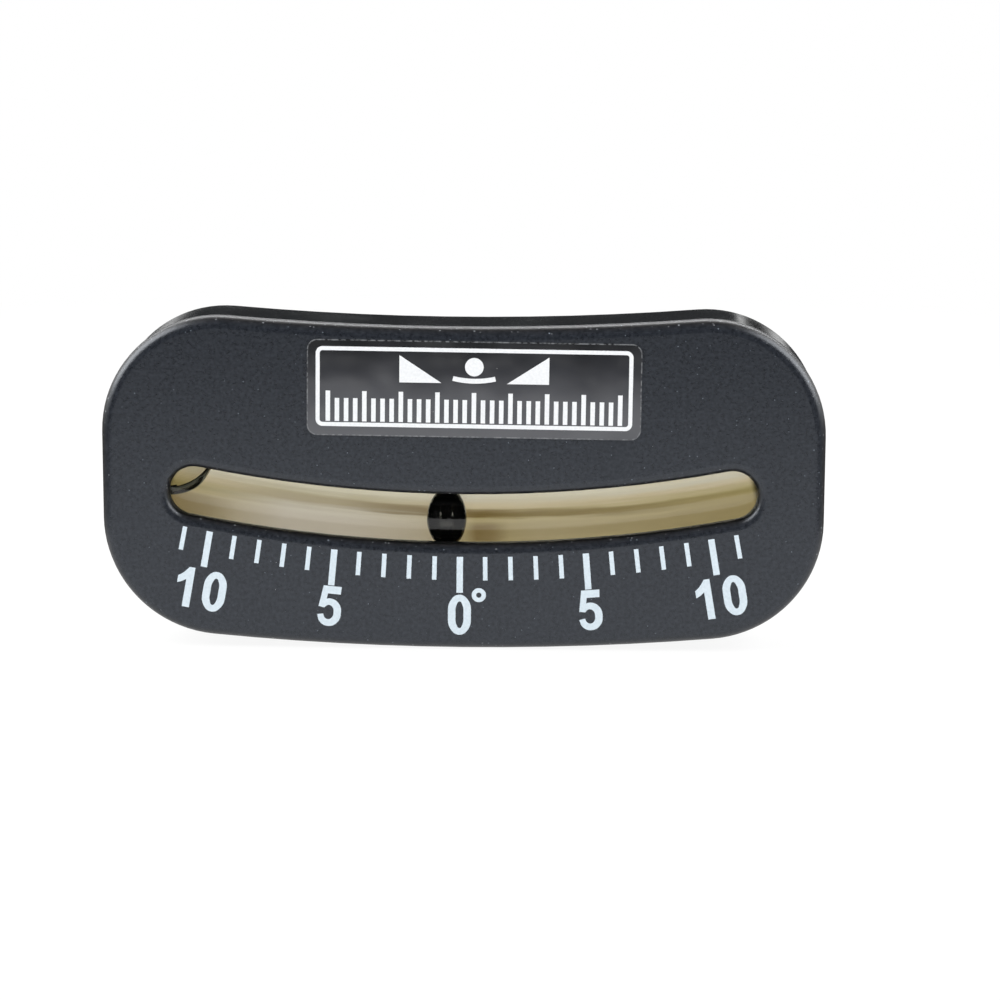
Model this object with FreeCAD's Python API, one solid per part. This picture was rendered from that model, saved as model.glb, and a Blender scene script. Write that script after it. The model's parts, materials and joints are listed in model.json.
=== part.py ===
import FreeCAD
import Part
import math
import os
from FreeCAD import Vector

# Ball inclinometer that sticks on by its back, in millimetres.
# X runs to the viewer's right, Z up, and Y from the front face to the back.
# The origin is the middle of the adhesive face. Angles count from straight down, positive to the right.

# outline of the case, seen from the front
case_width = 90.0
case_height = 40.6           # on the centre line, between the two long arcs
top_arc_radius = 365.5
bottom_arc_radius = 349.0
upper_corner_radius = 14.6
lower_corner_radius = 15.0

# front cover
cover_depth = 2.6
cover_wall = 1.9
cover_front_round = 1.4
cover_back_round = 0.2
lip_width = 0.8              # locating lip that drops into the housing
lip_height = 1.5
lip_clearance = 0.15

# rear housing
housing_inset = 0.25
housing_wall = 1.5
housing_floor = 1.6
housing_back_round = 0.8
seam_chamfer = 0.25          # the dark line between cover and housing
rib_width = 1.2
rib_height = 0.9
rib_count = 9                # cross ribs under the vial
cheek_gap = 0.3              # between a cushion and the cheek beside it

# vial: a curved glass tube
vial_arc_radius = 175.85
vial_drop = 4.25             # the axis passes this far below the middle of the case
vial_radius = 4.0
bore_radius = 2.9
vial_clearance = 0.05        # behind the cover's wall
vial_end_room = 3.0          # from the end plug to the housing's side wall
fit_gap = 0.02               # between the bore and what fills it

# end plugs, cushions and reflector strip
plug_depth = 2.0
plug_flange = 0.9
end_stop_gap = 0.1
cushion_length = 2.4
cushion_margin = 1.0         # cushion beyond the vial on each side
cushion_gap = 0.1
strip_width = 9.0
strip_thickness = 0.3
strip_gap = 0.25

# slot in the cover
slot_width = 6.2
slot_rise = 0.5              # the slot's centre line lies this far above the vial's axis
slot_round = 1.2             # the slot's edge is rolled in, as the case's own edge is
slot_lap = 0.8               # the cover hides the plug's face by this much

# ball, air pocket and liquid
ball_radius = 2.5
ball_clearance = 0.1         # from the low side of the bore
ball_angle = -0.7
pocket_radius = 2.0
pocket_film = 0.1
pocket_length = 5.2          # from the nose to the left plug

# pegs of the cover and their sockets
peg_radius = 1.5
peg_length = 5.0
peg_edge = 7.5               # from a peg's centre to the corner's edge
peg_clearance = 0.05
upper_peg_angle = 45.0
lower_peg_angle = -60.0
boss_wall = 1.5
boss_gap = 0.3
socket_spare = 0.5

# smoke-grey film label on the face
label_width = 41.4
label_height = 12.05
label_thickness = 0.12
label_corner = 1.3
label_top_margin = 1.5
label_shift = 1.4
label_tilt = 0.5

# adhesive pad on the back
pad_thickness = 1.0
pad_inset = 3.5

overrun = 1.0                # cutters pass through faces by this much
touching = 0.001             # two places closer than this are the same

# depths behind the front face
vial_depth = cover_wall + vial_clearance + vial_radius
strip_depth = vial_depth + vial_radius + strip_gap
shelf_depth = strip_depth + strip_thickness
floor_depth = shelf_depth + rib_height
case_depth = floor_depth + housing_floor
lip_depth = cover_depth + lip_height
boss_depth = cover_wall + boss_gap

# places along Y
back_y = -pad_thickness
front_y = back_y - case_depth

# centres of the arcs in the outline
half_width = case_width / 2
half_height = case_height / 2
top_centre_z = half_height + top_arc_radius
bottom_centre_z = -half_height + bottom_arc_radius
upper_corner_x = half_width - upper_corner_radius
upper_corner_z = top_centre_z - math.sqrt(
    (top_arc_radius + upper_corner_radius) ** 2 - upper_corner_x ** 2
)
lower_corner_x = half_width - lower_corner_radius
lower_corner_z = bottom_centre_z - math.sqrt(
    (bottom_arc_radius - lower_corner_radius) ** 2 - lower_corner_x ** 2
)

# the vial's arc, with places along it as angles
arc_centre_z = vial_arc_radius - vial_drop
slot_arc_radius = vial_arc_radius - slot_rise
ball_arc_radius = vial_arc_radius + bore_radius - ball_clearance - ball_radius
pocket_arc_radius = vial_arc_radius - bore_radius + pocket_film + pocket_radius


def arc_angle(length):
    return math.degrees(length / vial_arc_radius)


wall_angle = math.degrees(math.asin((half_width - housing_inset - housing_wall) / vial_arc_radius))
flange_angle = wall_angle - arc_angle(vial_end_room)
vial_angle = flange_angle - arc_angle(plug_flange)
plug_angle = vial_angle - arc_angle(plug_depth)
slot_angle = plug_angle - arc_angle(slot_lap)
end_stop_angle = flange_angle + arc_angle(end_stop_gap)
cushion_angle = end_stop_angle - arc_angle(cushion_length)
strip_angle = cushion_angle - arc_angle(strip_gap)
rib_end_angle = wall_angle - arc_angle(housing_wall / 2)


def at_depth(depth):
    return front_y + depth


def outline(inset, y):
    """Closed outline of the case, drawn inwards by inset, in the plane at y."""
    long_top = top_arc_radius + inset
    long_bottom = bottom_arc_radius - inset
    upper = upper_corner_radius - inset
    lower = lower_corner_radius - inset
    side = half_width - inset
    top_lean = math.atan2(upper_corner_x, top_centre_z - upper_corner_z)
    bottom_lean = math.atan2(lower_corner_x, bottom_centre_z - lower_corner_z)

    def on_circle(x, z, radius, lean):
        return Vector(x + radius * math.sin(lean), y, z - radius * math.cos(lean))

    def mirrored(point):
        return Vector(-point.x, point.y, point.z)

    top = on_circle(0, top_centre_z, long_top, 0)
    top_end = on_circle(0, top_centre_z, long_top, top_lean)
    upper_mid = on_circle(upper_corner_x, upper_corner_z, upper, (3 * math.pi / 2 + top_lean) / 2)
    side_top = Vector(side, y, upper_corner_z)
    side_bottom = Vector(side, y, lower_corner_z)
    lower_mid = on_circle(lower_corner_x, lower_corner_z, lower, (math.pi / 2 + bottom_lean) / 2)
    bottom_end = on_circle(0, bottom_centre_z, long_bottom, bottom_lean)
    bottom = on_circle(0, bottom_centre_z, long_bottom, 0)
    edges = [
        Part.Arc(mirrored(top_end), top, top_end),
        Part.Arc(top_end, upper_mid, side_top),
        Part.LineSegment(side_top, side_bottom),
        Part.Arc(side_bottom, lower_mid, bottom_end),
        Part.Arc(bottom_end, bottom, mirrored(bottom_end)),
        Part.Arc(mirrored(bottom_end), mirrored(lower_mid), mirrored(side_bottom)),
        Part.LineSegment(mirrored(side_bottom), mirrored(side_top)),
        Part.Arc(mirrored(side_top), mirrored(upper_mid), mirrored(top_end)),
    ]
    return Part.Wire([edge.toShape() for edge in edges])


def slab(inset, start, end):
    """The case's outline as a plate between two depths."""
    face = Part.Face(outline(inset, at_depth(start)))
    return face.extrude(Vector(0, end - start, 0))


def along_arc(profile, start, end):
    """Carry a profile, drawn below the arc's centre, round the arc from one angle to another."""
    centre = Vector(0, 0, arc_centre_z)
    axis = Vector(0, -1, 0)
    placed = profile.copy()
    placed.rotate(centre, axis, start)
    return placed.revolve(centre, axis, end - start)


def disc(arc_radius, depth, radius):
    """Round profile across the arc."""
    centre = Vector(0, at_depth(depth), arc_centre_z - arc_radius)
    circle = Part.makeCircle(radius, centre, Vector(1, 0, 0))
    return Part.Face(Part.Wire(circle))


def bar(inner, outer, start, end):
    """Rectangular profile across the arc, between two arc radii and two depths."""
    corners = [
        Vector(0, at_depth(depth), arc_centre_z - radius)
        for depth, radius in ((start, inner), (end, inner), (end, outer), (start, outer))
    ]
    return Part.Face(Part.makePolygon(corners + corners[:1]))


def on_arc(radius, angle, depth):
    lean = math.radians(angle)
    return Vector(radius * math.sin(lean), at_depth(depth), arc_centre_z - radius * math.cos(lean))


def post(x, z, radius, start, end):
    return Part.makeCylinder(radius, end - start, Vector(x, at_depth(start), z), Vector(0, 1, 0))


def edges_in_plane(solid, y, inside=None):
    """Edges that lie in the plane at y, and within the half width inside where one is given."""
    found = []
    for edge in solid.Edges:
        box = edge.BoundBox
        flat = abs(box.YMin - y) < touching and abs(box.YMax - y) < touching
        if flat and (inside is None or max(abs(box.XMin), abs(box.XMax)) < inside):
            found.append(edge)
    return found


def peg_places():
    """Centres of the four pegs, set in from the corners of the case."""
    corners = (
        (upper_corner_x, upper_corner_z, upper_corner_radius, upper_peg_angle),
        (lower_corner_x, lower_corner_z, lower_corner_radius, lower_peg_angle),
    )
    places = []
    for x, z, radius, angle in corners:
        reach = radius - peg_edge
        lean = math.radians(angle)
        for side in (-1, 1):
            places.append((side * (x + reach * math.cos(lean)), z + reach * math.sin(lean)))
    return places


def slot_cutter():
    """The curved window with round ends, concentric with the vial."""
    half = slot_width / 2
    inner = slot_arc_radius - half
    outer = slot_arc_radius + half
    end = slot_angle - math.degrees(half / slot_arc_radius)
    front, back = -overrun, cover_depth + lip_height
    window = along_arc(bar(inner, outer, front, back), -end, end)
    for angle in (-end, end):
        centre = on_arc(slot_arc_radius, angle, front)
        window = window.fuse(Part.makeCylinder(half, back - front, centre, Vector(0, 1, 0)))
    return window.removeSplitter()


def front_cover():
    plate = slab(0, 0, cover_depth)
    plate = plate.makeFillet(cover_front_round, edges_in_plane(plate, front_y))
    plate = plate.makeFillet(cover_back_round, edges_in_plane(plate, at_depth(cover_depth)))
    lip_outside = housing_inset + housing_wall + lip_clearance
    lip_inside = lip_outside + lip_width
    cover = plate.fuse(slab(lip_outside, cover_wall, lip_depth))
    cover = cover.cut(slab(lip_inside, cover_wall, lip_depth + overrun))
    for x, z in peg_places():
        cover = cover.fuse(post(x, z, peg_radius, cover_wall - touching, boss_depth + peg_length))
    cover = cover.cut(slot_cutter()).removeSplitter()
    slot_span = slot_arc_radius * math.sin(math.radians(slot_angle)) + slot_round
    return cover.makeFillet(slot_round, edges_in_plane(cover, front_y, slot_span))


def rear_housing():
    block = slab(housing_inset, cover_depth, case_depth)
    block = block.makeChamfer(seam_chamfer, edges_in_plane(block, at_depth(cover_depth)))
    block = block.makeFillet(housing_back_round, edges_in_plane(block, back_y))
    tub = block.cut(slab(housing_inset + housing_wall, cover_depth - overrun, floor_depth))
    tub = tub.fuse([vial_shelf(), *end_stops()])
    for x, z in peg_places():
        boss = post(x, z, peg_radius + boss_wall, boss_depth, floor_depth + housing_floor / 2)
        tub = tub.fuse(boss)
    for x, z in peg_places():
        socket_end = boss_depth + peg_length + socket_spare
        tub = tub.cut(post(x, z, peg_radius + peg_clearance, boss_depth - overrun, socket_end))
    return tub.removeSplitter()


def vial_shelf():
    """Two curved walls tied by cross ribs, which carry the strip and the cushions."""
    half = strip_width / 2
    bottom = floor_depth + housing_floor / 2
    inner, outer = vial_arc_radius - half, vial_arc_radius + half
    walls = [
        along_arc(bar(inner, inner + rib_width, shelf_depth, bottom), -rib_end_angle, rib_end_angle),
        along_arc(bar(outer - rib_width, outer, shelf_depth, bottom), -rib_end_angle, rib_end_angle),
    ]
    rib = bar(inner + rib_width / 2, outer - rib_width / 2, shelf_depth, bottom)
    half_rib = arc_angle(rib_width) / 2
    pitch = 2 * cushion_angle / (rib_count - 1)
    ribs = []
    for number in range(rib_count):
        angle = -cushion_angle + number * pitch
        ribs.append(along_arc(rib, angle - half_rib, angle + half_rib))
    return walls[0].fuse([walls[1], *ribs])


def end_stops():
    """The pocket at each end: a wall past the plug and a cheek on either side of the cushion."""
    reach = vial_radius + cushion_margin + cheek_gap
    bottom = floor_depth + housing_floor / 2
    inner, outer = vial_arc_radius - reach, vial_arc_radius + reach
    stop = bar(inner - rib_width, outer + rib_width, vial_depth, bottom)
    cheeks = (
        bar(inner - rib_width, inner, vial_depth, bottom),
        bar(outer, outer + rib_width, vial_depth, bottom),
    )
    pieces = []
    for side in (-1, 1):
        pieces.append(along_arc(stop, side * end_stop_angle, side * rib_end_angle))
        for cheek in cheeks:
            pieces.append(along_arc(cheek, side * cushion_angle, side * rib_end_angle))
    return pieces


def vial_tube():
    outside = along_arc(disc(vial_arc_radius, vial_depth, vial_radius), -vial_angle, vial_angle)
    bore_end = vial_angle + arc_angle(overrun)
    bore = along_arc(disc(vial_arc_radius, vial_depth, bore_radius), -bore_end, bore_end)
    return outside.cut(bore)


def damping_liquid():
    """Fills the bore between the plugs, apart from the ball and the air pocket at the left end."""
    profile = disc(vial_arc_radius, vial_depth, bore_radius - fit_gap)
    fill = along_arc(profile, -plug_angle, plug_angle)
    nose_angle = -plug_angle + arc_angle(pocket_length - pocket_radius)
    pocket_end = -plug_angle - arc_angle(overrun)
    pocket = along_arc(disc(pocket_arc_radius, vial_depth, pocket_radius), pocket_end, nose_angle)
    nose = Part.makeSphere(pocket_radius, on_arc(pocket_arc_radius, nose_angle, vial_depth))
    room = Part.makeSphere(ball_radius + fit_gap, on_arc(ball_arc_radius, ball_angle, vial_depth))
    return fill.cut([pocket.fuse(nose), room])


def ball():
    return Part.makeSphere(ball_radius, on_arc(ball_arc_radius, ball_angle, vial_depth))


def end_plug(side):
    barrel = disc(vial_arc_radius, vial_depth, bore_radius - fit_gap)
    flange = disc(vial_arc_radius, vial_depth, vial_radius)
    stem = along_arc(barrel, side * plug_angle, side * flange_angle)
    return stem.fuse(along_arc(flange, side * vial_angle, side * flange_angle)).removeSplitter()


def vial_cushion(side):
    """Foam block that wraps the back half of the vial's end."""
    half = vial_radius + cushion_margin
    block = bar(vial_arc_radius - half, vial_arc_radius + half, vial_depth + cushion_margin, shelf_depth)
    pad = along_arc(block, side * cushion_angle, side * (end_stop_angle - arc_angle(cushion_gap)))
    hollow = disc(vial_arc_radius, vial_depth, vial_radius + cushion_gap)
    seat_end = end_stop_angle + arc_angle(overrun)
    seat_start = cushion_angle - arc_angle(overrun)
    return pad.cut(along_arc(hollow, side * seat_start, side * seat_end))


def reflector_strip():
    half = strip_width / 2
    section = bar(vial_arc_radius - half, vial_arc_radius + half, strip_depth, shelf_depth)
    return along_arc(section, -strip_angle, strip_angle)


def range_label():
    """Rectangular film label with round corners, stuck on a little out of level."""
    centre_z = half_height - label_top_margin - label_height / 2
    low = Vector(label_shift - label_width / 2, front_y - label_thickness, centre_z - label_height / 2)
    card = Part.makeBox(label_width, label_thickness, label_height, low)
    upright = [edge for edge in card.Edges if edge.BoundBox.YLength > label_thickness - touching]
    card = card.makeFillet(label_corner, upright)
    card.rotate(Vector(label_shift, front_y, centre_z), Vector(0, 1, 0), label_tilt)
    return card


def adhesive_pad():
    return slab(pad_inset, case_depth, case_depth + pad_thickness)


def main():
    os.makedirs("parts", exist_ok=True)
    pieces = {
        "front_cover": front_cover(),
        "rear_housing": rear_housing(),
        "vial_tube": vial_tube(),
        "damping_liquid": damping_liquid(),
        "ball": ball(),
        "end_plug_left": end_plug(-1),
        "end_plug_right": end_plug(1),
        "vial_cushion_left": vial_cushion(-1),
        "vial_cushion_right": vial_cushion(1),
        "reflector_strip": reflector_strip(),
        "range_label": range_label(),
        "adhesive_pad": adhesive_pad(),
    }
    for name, shape in pieces.items():
        if shape.ShapeType == "Compound" and len(shape.Solids) == 1:
            shape = shape.Solids[0]
        shape.exportStep(f"parts/{name}.step")
        box = shape.optimalBoundingBox(True, False)
        print(
            f"{name}: {len(shape.Solids)} solid, valid {shape.isValid()}, {shape.Volume:.1f} mm3,"
            f" X {box.XMin:.2f} {box.XMax:.2f}, Y {box.YMin:.2f} {box.YMax:.2f},"
            f" Z {box.ZMin:.2f} {box.ZMax:.2f}"
        )
    travel = plug_angle - math.degrees((ball_radius + fit_gap) / ball_arc_radius)
    print(f"slot to {slot_angle:.2f} deg, ball from {-travel - ball_angle:.2f} to {travel - ball_angle:.2f} deg")
    print(f"arc centre height {arc_centre_z:.2f}, vial axis depth {vial_depth:.2f}, case depth {case_depth:.2f}")


main()
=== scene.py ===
import json
import math

import bmesh
import bpy
from mathutils import Matrix, Vector, noise


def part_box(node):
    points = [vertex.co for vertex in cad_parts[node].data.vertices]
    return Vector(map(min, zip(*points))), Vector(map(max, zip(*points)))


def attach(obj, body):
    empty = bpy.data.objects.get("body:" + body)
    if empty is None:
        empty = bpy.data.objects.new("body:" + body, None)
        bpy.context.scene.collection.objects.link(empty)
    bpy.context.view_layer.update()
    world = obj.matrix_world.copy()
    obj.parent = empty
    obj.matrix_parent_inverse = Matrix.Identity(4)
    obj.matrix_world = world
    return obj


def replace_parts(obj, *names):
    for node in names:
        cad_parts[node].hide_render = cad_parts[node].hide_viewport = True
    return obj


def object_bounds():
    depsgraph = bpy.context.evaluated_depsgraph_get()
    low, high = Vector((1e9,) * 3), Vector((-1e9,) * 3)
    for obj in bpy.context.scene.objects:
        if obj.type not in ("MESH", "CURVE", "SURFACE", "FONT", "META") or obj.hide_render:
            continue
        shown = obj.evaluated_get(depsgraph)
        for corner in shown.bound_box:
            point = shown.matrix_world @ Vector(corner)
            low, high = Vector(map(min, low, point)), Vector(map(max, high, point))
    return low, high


mm = 0.001  # every size below is in millimetres, and the scene is in metres

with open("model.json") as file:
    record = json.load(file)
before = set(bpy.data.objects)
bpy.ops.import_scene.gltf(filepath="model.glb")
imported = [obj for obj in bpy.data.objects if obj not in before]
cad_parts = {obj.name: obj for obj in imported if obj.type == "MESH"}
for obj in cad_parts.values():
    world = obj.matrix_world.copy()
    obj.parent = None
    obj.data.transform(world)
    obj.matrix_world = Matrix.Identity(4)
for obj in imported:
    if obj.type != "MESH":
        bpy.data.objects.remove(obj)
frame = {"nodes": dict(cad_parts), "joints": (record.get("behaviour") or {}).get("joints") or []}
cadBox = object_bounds()
caseBody = "case"
print("frame loaded:", ", ".join(sorted(frame["nodes"])))

# the case: its front face, and the arc that the vial, the slot and the scale follow
arcCentreHigh = frame["joints"][0]["pos_m"][2] / mm
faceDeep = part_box("front_cover")[0].y / mm
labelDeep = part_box("range_label")[0].y / mm

faintestSpeck = 0.2  # dust lies in specks, the faintest of them this strong
roundProfile = 0.5   # a bevel with this profile is part of a circle

cover = {
    "tones": ("#181b20", "#2a2d33"),
    # the rolled rims' painted shade, darker than the face
    "rimShadeTones": ("#030202", "#1c1918"),
    "mottle": 0.45,
    "mottleFrom": 0.3,
    "mottleTo": 0.7,
    "rimFrom": 0.05,         # below the face: where the rolled rim begins, and where it is at its full
    "rimTo": 0.7,
    # each kind of speck: its spacing, its largest size and its colour, with the share of places that hold one
    "haze": (0.8, 0.13, "#6b737c"),
    "hazeShare": 0.4,
    "dust": (1.8, 0.14, "#dfe2e5"),
    "dustShares": (0.15, 0.6),
    "grit": (0.42, 0.13, "#75787c"),
    "rimGritShare": 0.55,
    "slotGloom": 5.95,       # from the vial's axis: the walls of the slot are nearer, and the face is further
    "slotReach": 36.8,       # from the middle of the case to just past the slot's end
    # the walls of the slot, painted near black as painted shade
    "slotPaintedShade": "#040403",
    "patch": 14.0,
    "roughness": (0.22, 0.3),
    "rimRoughness": 0.14,
    "grain": 0.22,
    "grainDetail": 3.0,
    "grainDeep": 0.03,
    "grainStrengths": (0.6, 0.7),
    "index": 1.6,
    "sheen": "#e3e8ef",
}

housing = {
    "smudge": 9.0,
    "smudgeDetail": 4.0,
    "smudgeFrom": 0.45,
    "smudgeTo": 0.75,
    "roughness": (0.11, 0.2),
    "tone": "#151617",
    "dust": (1.0, 0.13, "#85888a"),
    "dustShare": 0.45,
    "index": 1.53,
    "sheen": "#e0f2ee",
}

vial = {
    "arcRadius": 175.85,
    "radius": 4.0,
    "boreRadius": 2.9,
    "plugAngle": 12.34,      # the liquid ends at the plugs
    "film": 0.02,            # between the liquid and the bore
    "steps": 96,
    "sides": 64,
    "glass": "#fdfffd",
    "index": 1.5,
}
vial["axisDeep"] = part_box("vial_tube")[0].y / mm + vial["radius"]

# what is drawn on the liquid's walls, and on the air pocket's
oil = {
    "wetted": "#fdfcf6",
    # the air pocket's walls: a grey tint as painted shade
    "airShade": "#f1efe7",
    "edgeShadeTones": ("#050502", "#1c1a10"),
    "edgeDrift": 0.8,
    "edgeRoughness": 0.05,
    "edgeIndex": 1.47,
    "topReflectionTones": ("#46493f", "#7a7e78"),
    "topDrift": 1.6,
    "topRoughness": 0.15,
    "topIndex": 1.3,
}

steelBall = {
    "haze": 1.5,
    "hazeDetail": 3.0,
    "roughness": (0.1, 0.2),
    "tone": "#060606",
    "index": 1.5,
}

airPocket = {
    "centreAngle": -12.68,   # degrees from straight down: past the left plug, which cuts it off
    "halfLength": 5.8,
    "halfHigh": 3.12,
    "halfDeep": 2.78,
    "rise": 1.96,            # the air floats against the top of the bore
    "blunt": 9.0,            # 2 is an ellipsoid, and more gives a flat floor with a tighter rim
    "lean": 0.01,            # the oil climbs the glass at the back
    "stretch": 0.15,         # the air reaches further along at the back, so its two outlines meet at the end
    # how far a face looks to the front or back: more is wall, less is the oil's top, and between is its edge
    "frontFacing": 0.93,
    "backFacing": 0.7,
    "floorFacing": 0.5,
    "film": 0.1,             # oil left between the air and the wall
    "segments": 128,
}
# where these finishes stand in makeLiquid's list, whose first is the wetted wall
airShadeWall, darkEdge, greyTop = 1, 2, 3

# the printed scale, which sits a little askew on the cover
scale = {
    "centreAcross": 0.81,
    "centreHigh": 171.62,
    "turn": -0.357,
    "innerRadius": 180.02,
    "minorLong": 3.0,
    "minorWide": 0.56,
    "majorLong": 4.6,
    "majorWide": 0.8,
    "lastMark": 11,
    "majorEvery": 5,
    "ink": 0.02,
}

numerals = {
    "high": 5.15,
    "radius": 187.3,
    "tenDrop": 0.24,         # the tens are printed lower than the fives
    "zeroDrop": 0.15,
    "zeroWide": 2.88,
    "sideLine": 0.95,
    "endLine": 0.86,
    "pairGap": 3.68,         # between the middles of the 1 and the 0 of a 10
    "degreeAngle": 0.745,
    "degreeRadius": 184.9,
    "degreeOutside": 0.89,
    "degreeInside": 0.33,
    "ovalShoulder": 0.742,
    "roundShoulder": 0.7071,
    "curveSteps": 10,
}

label = {
    "across": 1.40,
    "high": 12.92,
    "turn": 0.5,
    "frameWide": 39.2,
    "frameHigh": 10.0,
    "frameLine": 0.5,
    "frameCorner": 0.85,
    "cornerSegments": 8,
    "ink": 0.02,
    "filmWide": 41.4,
    "filmHigh": 12.05,
    "filmCorner": 1.3,
    "filmEdge": 0.15,        # the cut edge, painted with a highlight as if it caught the light
    "cloud": 7.0,
    "cloudShare": 0.4,
    "cloudMiddle": 0.2,
    "smoke": ((0.0, "#1d1e20"), (0.3, "#2e2f33"), (0.6, "#47484c"), (1.0, "#4f5054")),
    "edgeBreak": 0.5,
    "edgeFrom": 0.4,
    "edgeTo": 0.6,
    "edgeHighlightTone": "#6c6e71",
    "dust": (1.9, 0.13, "#c9cbcd"),
    "dustShare": 0.25,
    "ripple": 5.0,
    "rippleDetail": 1.0,
    "rippleDeep": 0.12,
    "rippleStrength": 1.0,
    "roughness": 0.16,
    "index": 1.6,
}

inks = {
    "scale": ("#bccad3", "#dde8f0"),
    "label": ("#d6d9dc", "#f0f1f3"),
    "grain": 0.3,
    "roughness": 0.55,
    "index": 1.5,
}

# the print on the label: a slope each way beside a ball in its tube, over a row of graduations
pictogram = {
    "upperHigh": 2.33,
    "wedgeLong": 5.2,
    "wedgeHigh": 3.4,
    "wedgeAcross": 6.65,
    "ballRadius": 1.15,
    "ballHigh": 0.35,
    "ballSegments": 48,
    "tubeRadius": 12.0,
    "tubeSpread": 13.0,
    "tubeLine": 0.6,
    "tubeSteps": 24,
    "lowerHigh": -2.45,
    "barsEachSide": 16,
    "barPitch": 1.13,
    "barWide": 0.56,
    "barHigh": 2.9,
    "longBarHigh": 3.8,
    "longBarEvery": 4,
}

foam = {
    "weld": 0.001,
    "flatWithin": 0.3,       # degrees: faces that differ by less are joined up
    "padSharp": 60,          # degrees: only edges that turn by more are rounded
    "cushionSharp": 40,
    "hollowFrom": 0.2,       # the hollow lies between these shares of the pad's thickness
    "hollowTo": 0.8,
    "edgeCuts": 3,           # through the pad's edge, so that it has rows to hollow
    "rippleScale": 0.7,
    "rim": 0.14,             # the die-cut edge of the pad is rounded and slightly hollow
    "hollow": 0.12,
    "ripple": 0.05,
    "rimSegments": 3,
    "cushionRound": 0.35,
    "cushionSegments": 4,
    "fill": 0.9,
    "cell": 0.35,
    "cellWidths": 3,         # a cell is so many times as wide as it is deep
    "cellPitShade": "#0c0c0d",
    "padTone": "#2a2b2e",
    "cushionTone": "#26272a",
    "cellStrength": 0.7,
    "roughness": 0.85,
    "index": 1.45,
}

rubber = {
    "grain": 0.3,
    "grainDetail": 3.0,
    "tones": ("#151516", "#222223"),
    "grainDeep": 0.03,
    "grainStrength": 0.5,
    "roughness": 0.6,
    "index": 1.52,
}

# the cream strip behind the vial; the tube shows only a narrow band of it, drawn out to its own height
strip = {
    "seenLow": 0.29,         # below the vial's axis
    "seenHigh": 1.36,
    "wander": 0.07,
    "wanderLong": 7.0,
    "streaks": 0.16,
    "streakLong": 14.0,
    "streakWide": 0.13,
    "streakDetail": 2.0,
    # the film's painted bands of light and shade, a paler set and a darker, more yellow set, from the top of
    # the band down
    "paleBands": ((0.0, "#f7f0e3"), (0.2, "#dbd0b7"), (0.42, "#ddd0bb"), (0.6, "#f1e9e0"), (1.0, "#e5dad0")),
    "darkBands": (
        (0.0, "#f8f1e6"), (0.24, "#f2e2c6"), (0.46, "#d8c99d"),
        (0.58, "#c0b07b"), (0.7, "#d2c190"), (1.0, "#beac7f")),
    # the brown of the bands of painted shade
    "brown": "#745728",
    # along the film, from its left end to its right: how far the darker bands take over, and how dark the
    # brown bands of painted shade are
    "reach": 12.3,
    "darkBandShare": (
        (0.0, 1.0), (0.1, 0.6), (0.2, 0.0), (0.32, 0.05), (0.42, 0.35), (0.52, 1.0), (0.62, 0.8), (1.0, 1.0)),
    "brownShadeStrength": (
        (0.0, 0.0), (0.28, 0.15), (0.38, 0.5), (0.46, 0.6),
        (0.53, 0.75), (0.6, 0.5), (0.75, 0.4), (0.95, 0.1)),
    "footShadeStrength": (
        (0.0, 0.4), (0.07, 0.3), (0.12, 0.0), (0.5, 0.05),
        (0.52, 0.6), (0.545, 0.5), (0.575, 0.0), (1.0, 0.05)),
    # how far down the band the brown streak lies at each end, and the share of the band that it takes
    "brownFrom": 0.31,
    "brownTo": 0.69,
    "brownCore": 0.07,
    "brownWide": 0.22,
    "footCore": 0.06,
    "footWide": 0.34,
    "roughness": 0.7,
    "index": 1.5,
}

studio = {
    "floor": 30.0,           # half the floor's width, in metres
    "fill": 0.15,            # the walls' light on the object
    "paper": "#f4f4f3",
    "bounce": "#9a9a99",     # what the floor throws back on the object
    "nearGlow": 0.9,         # round the object, the rest of the floor's white takes its shadow
    "nearReach": 0.10,
    "farReach": 0.30,
    "flagBlack": "#1c1c1d",
    "flagGrey": "#343537",
    "flagSteps": 16,
    "flags": {
        "frontFlag": {"side": -1, "reach": 0.9, "left": -2.0, "right": 2.0, "low": -1, "high": 115},
        "rearFlag": {"side": 1, "reach": 0.9, "left": -0.5, "right": 0.136, "low": 2, "high": 26},
        "sideFlag": {"side": 1, "reach": 0.9, "left": 0.15, "right": 0.5, "low": 2, "high": 26},
    },
    # black sheets on the table, out of view, as (left, right, front, back)
    "sheetRise": 0.5,
    "sheets": {
        "frontSheet": (-2.0, 2.0, -0.9, -0.20), "rearSheet": (-0.5, 0.5, 0.02, 0.9),
        "leftSheet": (-0.9, -0.10, -0.20, 0.02), "rightSheet": (0.10, 0.9, -0.20, 0.02),
    },
    # place and size in metres, power in watts, and whether the lamp shows in a gloss
    "lamps": {
        "leftSoftbox": ((-0.56, -0.05, 0.40), (0.58, 0.58), 7.8, True),
        "rightSoftbox": ((0.56, -0.05, 0.40), (0.58, 0.58), 6.6, True),
        "rearSoftbox": ((0.0, 0.55, 0.36), (1.0, 0.16), 2.6, True),
        "frontFill": ((0.03, -0.80, 0.15), (0.05, 0.05), 3.6, False),
    },
}

cameraView = {
    "lens": 121.63,
    "sensor": 36.0,
    "place": (14.99, -425.41, 82.99),
    "aim": (4.66, -14.0, -1.11),
    "roll": 0.254,
    "clipStart": 0.01,
}


# materials

def colourOf(text):
    channels = [int(text[i:i + 2], 16) / 255 for i in (1, 3, 5)]
    linear = [c / 12.92 if c <= 0.04045 else ((c + 0.055) / 1.055) ** 2.4 for c in channels]
    return (*linear, 1.0)


def addNode(tree, kind, inputs=None, **settings):
    node = tree.nodes.new(kind)
    for name, value in settings.items():
        setattr(node, name, value)
    for name, value in (inputs or {}).items():
        if isinstance(value, bpy.types.NodeSocket):
            tree.links.new(value, node.inputs[name])
        else:
            node.inputs[name].default_value = value
    return node


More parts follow.
